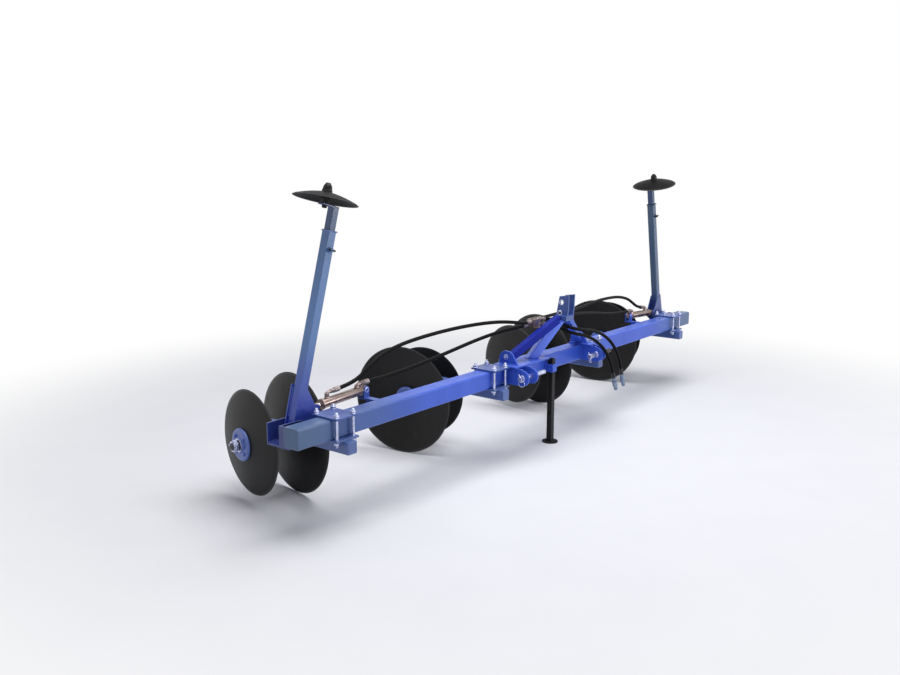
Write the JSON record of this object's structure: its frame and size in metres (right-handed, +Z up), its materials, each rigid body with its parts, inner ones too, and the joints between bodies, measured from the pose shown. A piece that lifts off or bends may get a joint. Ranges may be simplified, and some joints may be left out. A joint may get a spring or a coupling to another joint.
{
  "type": "disc ridger",
  "caption": "Tractor-mounted disc ridger: disc gangs clamped under a square toolbar, top-link mast, parking stand and folding row markers worked by cylinders.",
  "frame": {"origin": "centre of the bounding box in plan, on the ground, measured without the two feed hoses and their couplers", "axes": "+X along the toolbar, -Y towards the tractor, +Z up; left and right in the names are as seen by someone who stands in front of the machine on the tractor's side, so left is -X"},
  "size_m": [4.2, 1.1041, 1.6606],
  "materials": {
    "blue_paint": "satin enamel over steel",
    "black_paint": "satin black enamel",
    "disc_steel": "satin black disc blades",
    "axle_steel": "blue flanges with bright bolts",
    "zinc": "zinc plated",
    "cylinder_copper": "copper-coloured plating",
    "rod_chrome": "hard chrome",
    "hose_rubber": "matt black rubber",
    "coupler_steel": "bright steel"
  },
  "bodies": {
    "frame": {"toolbar": "blue_paint", "end_caps": "blue_paint", "clamp_plates": "blue_paint", "clamp_bolts": "zinc", "mast": "blue_paint", "front_brace": "blue_paint", "rear_brace_left": "blue_paint", "rear_brace_right": "blue_paint", "brace_lugs": "blue_paint", "hitch_bracket_left": "blue_paint", "hitch_bracket_right": "blue_paint", "hitch_pins": "zinc", "stand_sleeve": "blue_paint", "marker_brackets": "blue_paint", "cylinder_brackets": "blue_paint", "tee_block": "zinc", "couplers": "coupler_steel", "gang_arm_1": "blue_paint", "gang_arm_2": "blue_paint", "gang_arm_3": "blue_paint", "gang_arm_4": "blue_paint", "hose_left_high": "hose_rubber", "hose_left_low": "hose_rubber", "hose_right_high": "hose_rubber", "hose_right_low": "hose_rubber", "hose_feed_a": "hose_rubber", "hose_feed_b": "hose_rubber"},
    "stand": {"stand_leg": "black_paint"},
    "gang_1": {"axle_1": "axle_steel", "gang_discs_1": "disc_steel"},
    "gang_2": {"axle_2": "axle_steel", "gang_discs_2": "disc_steel"},
    "gang_3": {"axle_3": "axle_steel", "gang_discs_3": "disc_steel"},
    "gang_4": {"axle_4": "axle_steel", "gang_discs_4": "disc_steel"},
    "marker_left": {"marker_arm_left": "blue_paint"},
    "marker_left_extension": {"marker_extension_left": "blue_paint"},
    "marker_left_disc": {"marker_disc_left": "disc_steel"},
    "cylinder_left": {"barrel_left": "cylinder_copper"},
    "ram_left": {"rod_left": "rod_chrome"},
    "marker_right": {"marker_arm_right": "blue_paint"},
    "marker_right_extension": {"marker_extension_right": "blue_paint"},
    "marker_right_disc": {"marker_disc_right": "disc_steel"},
    "cylinder_right": {"barrel_right": "cylinder_copper"},
    "ram_right": {"rod_right": "rod_chrome"}
  },
  "joints": [
    {"name": "gang_1_turn", "type": "hinge", "parent": "frame", "child": "gang_1", "pos_m": [-1.819, 0.2354, 0.33], "axis": [0.9848, -0.1736, 0], "continuous": true},
    {"name": "gang_2_turn", "type": "hinge", "parent": "frame", "child": "gang_2", "pos_m": [-0.553, 0.2354, 0.33], "axis": [-0.9848, -0.1736, 0], "continuous": true},
    {"name": "gang_3_turn", "type": "hinge", "parent": "frame", "child": "gang_3", "pos_m": [0.553, 0.2354, 0.33], "axis": [0.9848, -0.1736, 0], "continuous": true},
    {"name": "gang_4_turn", "type": "hinge", "parent": "frame", "child": "gang_4", "pos_m": [1.819, 0.2354, 0.33], "axis": [-0.9848, -0.1736, 0], "continuous": true},
    {"name": "stand_slide", "type": "slide", "parent": "frame", "child": "stand", "axis": [0, 0, 1], "range_m": [0, 0.17]},
    {"name": "marker_left_fold", "type": "hinge", "parent": "frame", "child": "marker_left", "pos_m": [-1.942, -0.1616, 0.505], "axis": [0, -1, 0], "range_deg": [0, 112]},
    {"name": "marker_left_extend", "type": "slide", "parent": "marker_left", "child": "marker_left_extension", "axis": [0.2503, -0.0297, 0.9677], "range_m": [0, 0.25]},
    {"name": "marker_left_disc_turn", "type": "hinge", "parent": "marker_left_extension", "child": "marker_left_disc", "pos_m": [-1.72629, -0.19406, 1.57871], "axis": [0.2503, -0.0297, 0.9677], "continuous": true},
    {"name": "cylinder_left_swing", "type": "hinge", "parent": "frame", "child": "cylinder_left", "pos_m": [-1.457, -0.1616, 0.595], "axis": [0, 1, 0], "range_deg": [0, 3.3]},
    {"name": "ram_left_slide", "type": "slide", "parent": "cylinder_left", "child": "ram_left", "axis": [-0.9985, 0, -0.0555], "range_m": [0, 0.237]},
    {"name": "marker_right_fold", "type": "hinge", "parent": "frame", "child": "marker_right", "pos_m": [1.942, -0.1616, 0.505], "axis": [0, 1, 0], "range_deg": [0, 112]},
    {"name": "marker_right_extend", "type": "slide", "parent": "marker_right", "child": "marker_right_extension", "axis": [-0.2503, -0.0297, 0.9677], "range_m": [0, 0.25]},
    {"name": "marker_right_disc_turn", "type": "hinge", "parent": "marker_right_extension", "child": "marker_right_disc", "pos_m": [1.72629, -0.19406, 1.57871], "axis": [-0.2503, -0.0297, 0.9677], "continuous": true},
    {"name": "cylinder_right_swing", "type": "hinge", "parent": "frame", "child": "cylinder_right", "pos_m": [1.457, -0.1616, 0.595], "axis": [0, -1, 0], "range_deg": [0, 3.3]},
    {"name": "ram_right_slide", "type": "slide", "parent": "cylinder_right", "child": "ram_right", "axis": [0.9985, 0, -0.0555], "range_m": [0, 0.237]}
  ],
  "couplings": [
    {"joint": "cylinder_left_swing", "follows": "marker_left_fold", "ratio": 0.028113},
    {"joint": "ram_left_slide", "follows": "marker_left_fold", "m_per_rad": 0.12082},
    {"joint": "cylinder_right_swing", "follows": "marker_right_fold", "ratio": 0.028113},
    {"joint": "ram_right_slide", "follows": "marker_right_fold", "m_per_rad": 0.12082}
  ]
}
